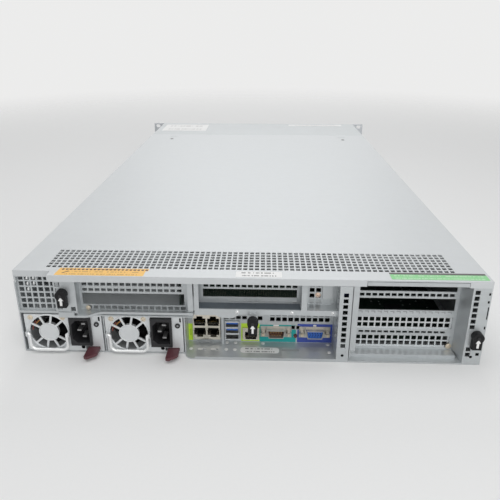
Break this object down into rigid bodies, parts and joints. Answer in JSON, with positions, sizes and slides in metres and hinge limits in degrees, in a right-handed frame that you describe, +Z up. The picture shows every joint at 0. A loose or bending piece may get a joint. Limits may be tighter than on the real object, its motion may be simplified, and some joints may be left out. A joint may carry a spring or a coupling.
{
  "type": "two-unit rack server",
  "caption": "Two-unit rack-mount server with perforated sheet-metal rear, riser cages, hot-swap power supplies, sliding cover, fan wall and front drive bays.",
  "frame": {"origin": "centre of the chassis underside, halfway between the rear plane and the front of the rack ears, on the resting plane", "axes": "+X to the right seen from the rear, +Y from the rear panel to the drive bays, +Z up"},
  "size_m": [0.4826, 0.761, 0.088],
  "materials": {
    "galvanised": "zinc-coated sheet, fine satin grain",
    "cover_steel": "pre-coated sheet, even satin",
    "case_steel": "zinc-coated sheet, satin",
    "bracket_steel": "nickel-plated sheet, satin",
    "wire": "bright nickel-plated wire",
    "port_shell": "tinned connector shell",
    "black_plastic": "moulded, fine texture",
    "socket_black": "moulded, slightly glossy",
    "maroon_plastic": "moulded, fine texture",
    "red_cap": "translucent button cap",
    "board": "solder-masked laminate",
    "fin_aluminium": "extruded fins",
    "bezel_plastic": "moulded, fine texture",
    "ear_steel": "powder coat"
  },
  "bodies": {
    "chassis": {"chassis_tray": "galvanised", "rear_frame": "galvanised", "psu_bay": "galvanised", "io_wall": "galvanised", "riser_cage_left": "galvanised", "riser_cage_middle": "galvanised", "riser_cage_right": "galvanised", "slot_covers": "bracket_steel", "riser_cards": "board", "lan_ports": "port_shell", "management_port": "port_shell", "usb_ports": "bracket_steel", "serial_port": "port_shell", "vga_port": "port_shell", "motherboard": "board", "heatsinks": "fin_aluminium", "fan_wall": "black_plastic", "drive_cage": "galvanised", "drive_backplane": "board", "rack_ear_right": "ear_steel", "rack_ear_left": "ear_steel"},
    "top_cover": {"top_cover": "cover_steel"},
    "cover_button_left": {"cover_button_left": "galvanised"},
    "cover_button_right": {"cover_button_right": "galvanised"},
    "riser_lever_left": {"riser_lever_left": "black_plastic"},
    "riser_lever_middle": {"riser_lever_middle": "black_plastic"},
    "riser_lever_right": {"riser_lever_right": "black_plastic"},
    "id_button": {"id_button": "red_cap"},
    "power_button": {"power_button": "black_plastic"},
    "locator_button": {"locator_button": "black_plastic"},
    "psu_1": {"psu_1_case": "case_steel", "psu_1_inlet": "socket_black"},
    "psu_1_rotor": {"psu_1_rotor": "black_plastic"},
    "psu_1_bail": {"psu_1_bail": "wire"},
    "psu_1_tab": {"psu_1_tab": "maroon_plastic"},
    "psu_2": {"psu_2_case": "case_steel", "psu_2_inlet": "socket_black"},
    "psu_2_rotor": {"psu_2_rotor": "black_plastic"},
    "psu_2_bail": {"psu_2_bail": "wire"},
    "psu_2_tab": {"psu_2_tab": "maroon_plastic"},
    "fan_rotor_1": {"fan_rotor_1": "black_plastic"},
    "fan_rotor_2": {"fan_rotor_2": "black_plastic"},
    "fan_rotor_3": {"fan_rotor_3": "black_plastic"},
    "fan_rotor_4": {"fan_rotor_4": "black_plastic"},
    "carrier_1": {"carrier_1": "bezel_plastic"},
    "carrier_lever_1": {"carrier_lever_1": "black_plastic"},
    "carrier_2": {"carrier_2": "bezel_plastic"},
    "carrier_lever_2": {"carrier_lever_2": "black_plastic"},
    "carrier_3": {"carrier_3": "bezel_plastic"},
    "carrier_lever_3": {"carrier_lever_3": "black_plastic"},
    "carrier_4": {"carrier_4": "bezel_plastic"},
    "carrier_lever_4": {"carrier_lever_4": "black_plastic"},
    "carrier_5": {"carrier_5": "bezel_plastic"},
    "carrier_lever_5": {"carrier_lever_5": "black_plastic"},
    "carrier_6": {"carrier_6": "bezel_plastic"},
    "carrier_lever_6": {"carrier_lever_6": "black_plastic"},
    "carrier_7": {"carrier_7": "bezel_plastic"},
    "carrier_lever_7": {"carrier_lever_7": "black_plastic"},
    "carrier_8": {"carrier_8": "bezel_plastic"},
    "carrier_lever_8": {"carrier_lever_8": "black_plastic"}
  },
  "joints": [
    {"name": "cover_slide", "type": "slide", "parent": "chassis", "child": "top_cover", "axis": [0, -1, 0], "range_m": [0, 0.014]},
    {"name": "cover_button_left_press", "type": "slide", "parent": "top_cover", "child": "cover_button_left", "axis": [0, 0, -1], "range_m": [0, 0.0015], "stiffness_N_per_m": 800, "springref_m": -0.002},
    {"name": "cover_button_right_press", "type": "slide", "parent": "top_cover", "child": "cover_button_right", "axis": [0, 0, -1], "range_m": [0, 0.0015], "stiffness_N_per_m": 800, "springref_m": -0.002},
    {"name": "riser_lever_left_lift", "type": "slide", "parent": "chassis", "child": "riser_lever_left", "axis": [0, 0, 1], "range_m": [0, 0.004], "stiffness_N_per_m": 600, "springref_m": -0.002},
    {"name": "riser_lever_middle_lift", "type": "slide", "parent": "chassis", "child": "riser_lever_middle", "axis": [0, 0, 1], "range_m": [0, 0.004], "stiffness_N_per_m": 600, "springref_m": -0.002},
    {"name": "riser_lever_right_lift", "type": "slide", "parent": "chassis", "child": "riser_lever_right", "axis": [0, 0, 1], "range_m": [0, 0.004], "stiffness_N_per_m": 600, "springref_m": -0.002},
    {"name": "id_button_press", "type": "slide", "parent": "chassis", "child": "id_button", "axis": [0, 1, 0], "range_m": [0, 0.0008], "stiffness_N_per_m": 500, "springref_m": -0.001},
    {"name": "power_button_press", "type": "slide", "parent": "chassis", "child": "power_button", "axis": [0, -1, 0], "range_m": [0, 0.0012], "stiffness_N_per_m": 500, "springref_m": -0.001},
    {"name": "locator_button_press", "type": "slide", "parent": "chassis", "child": "locator_button", "axis": [0, -1, 0], "range_m": [0, 0.0012], "stiffness_N_per_m": 500, "springref_m": -0.001},
    {"name": "psu_1_slide", "type": "slide", "parent": "chassis", "child": "psu_1", "axis": [0, -1, 0], "range_m": [0, 0.18]},
    {"name": "psu_1_rotor_spin", "type": "hinge", "parent": "psu_1", "child": "psu_1_rotor", "pos_m": [-0.1922, -0.349, 0.022], "axis": [0, 1, 0], "continuous": true},
    {"name": "psu_1_bail_swing", "type": "hinge", "parent": "psu_1", "child": "psu_1_bail", "pos_m": [-0.1922, -0.3561, 0.022], "axis": [-1, 0, 0], "range_deg": [0, 100]},
    {"name": "psu_1_tab_squeeze", "type": "slide", "parent": "psu_1", "child": "psu_1_tab", "axis": [-1, 0, 0], "range_m": [0, 0.0025], "stiffness_N_per_m": 900, "springref_m": -0.002},
    {"name": "psu_2_slide", "type": "slide", "parent": "chassis", "child": "psu_2", "axis": [0, -1, 0], "range_m": [0, 0.18]},
    {"name": "psu_2_rotor_spin", "type": "hinge", "parent": "psu_2", "child": "psu_2_rotor", "pos_m": [-0.1144, -0.349, 0.022], "axis": [0, 1, 0], "continuous": true},
    {"name": "psu_2_bail_swing", "type": "hinge", "parent": "psu_2", "child": "psu_2_bail", "pos_m": [-0.1144, -0.3561, 0.022], "axis": [-1, 0, 0], "range_deg": [0, 100]},
    {"name": "psu_2_tab_squeeze", "type": "slide", "parent": "psu_2", "child": "psu_2_tab", "axis": [-1, 0, 0], "range_m": [0, 0.0025], "stiffness_N_per_m": 900, "springref_m": -0.002},
    {"name": "fan_1_spin", "type": "hinge", "parent": "chassis", "child": "fan_rotor_1", "pos_m": [-0.153, 0.0125, 0.043], "axis": [0, 1, 0], "continuous": true},
    {"name": "fan_2_spin", "type": "hinge", "parent": "chassis", "child": "fan_rotor_2", "pos_m": [-0.051, 0.0125, 0.043], "axis": [0, 1, 0], "continuous": true},
    {"name": "fan_3_spin", "type": "hinge", "parent": "chassis", "child": "fan_rotor_3", "pos_m": [0.051, 0.0125, 0.043], "axis": [0, 1, 0], "continuous": true},
    {"name": "fan_4_spin", "type": "hinge", "parent": "chassis", "child": "fan_rotor_4", "pos_m": [0.153, 0.0125, 0.043], "axis": [0, 1, 0], "continuous": true},
    {"name": "carrier_1_slide", "type": "slide", "parent": "chassis", "child": "carrier_1", "axis": [0, 1, 0], "range_m": [0, 0.16]},
    {"name": "carrier_lever_1_swing", "type": "hinge", "parent": "carrier_1", "child": "carrier_lever_1", "pos_m": [-0.21088, 0.3643, 0.0156], "axis": [0, 0, 1], "range_deg": [0, 65]},
    {"name": "carrier_2_slide", "type": "slide", "parent": "chassis", "child": "carrier_2", "axis": [0, 1, 0], "range_m": [0, 0.16]},
    {"name": "carrier_lever_2_swing", "type": "hinge", "parent": "carrier_2", "child": "carrier_lever_2", "pos_m": [-0.10222, 0.3643, 0.0156], "axis": [0, 0, 1], "range_deg": [0, 65]},
    {"name": "carrier_3_slide", "type": "slide", "parent": "chassis", "child": "carrier_3", "axis": [0, 1, 0], "range_m": [0, 0.16]},
    {"name": "carrier_lever_3_swing", "type": "hinge", "parent": "carrier_3", "child": "carrier_lever_3", "pos_m": [0.00643, 0.3643, 0.0156], "axis": [0, 0, 1], "range_deg": [0, 65]},
    {"name": "carrier_4_slide", "type": "slide", "parent": "chassis", "child": "carrier_4", "axis": [0, 1, 0], "range_m": [0, 0.16]},
    {"name": "carrier_lever_4_swing", "type": "hinge", "parent": "carrier_4", "child": "carrier_lever_4", "pos_m": [0.11507, 0.3643, 0.0156], "axis": [0, 0, 1], "range_deg": [0, 65]},
    {"name": "carrier_5_slide", "type": "slide", "parent": "chassis", "child": "carrier_5", "axis": [0, 1, 0], "range_m": [0, 0.16]},
    {"name": "carrier_lever_5_swing", "type": "hinge", "parent": "carrier_5", "child": "carrier_lever_5", "pos_m": [-0.21088, 0.3643, 0.045], "axis": [0, 0, 1], "range_deg": [0, 65]},
    {"name": "carrier_6_slide", "type": "slide", "parent": "chassis", "child": "carrier_6", "axis": [0, 1, 0], "range_m": [0, 0.16]},
    {"name": "carrier_lever_6_swing", "type": "hinge", "parent": "carrier_6", "child": "carrier_lever_6", "pos_m": [-0.10222, 0.3643, 0.045], "axis": [0, 0, 1], "range_deg": [0, 65]},
    {"name": "carrier_7_slide", "type": "slide", "parent": "chassis", "child": "carrier_7", "axis": [0, 1, 0], "range_m": [0, 0.16]},
    {"name": "carrier_lever_7_swing", "type": "hinge", "parent": "carrier_7", "child": "carrier_lever_7", "pos_m": [0.00643, 0.3643, 0.045], "axis": [0, 0, 1], "range_deg": [0, 65]},
    {"name": "carrier_8_slide", "type": "slide", "parent": "chassis", "child": "carrier_8", "axis": [0, 1, 0], "range_m": [0, 0.16]},
    {"name": "carrier_lever_8_swing", "type": "hinge", "parent": "carrier_8", "child": "carrier_lever_8", "pos_m": [0.11507, 0.3643, 0.045], "axis": [0, 0, 1], "range_deg": [0, 65]}
  ]
}
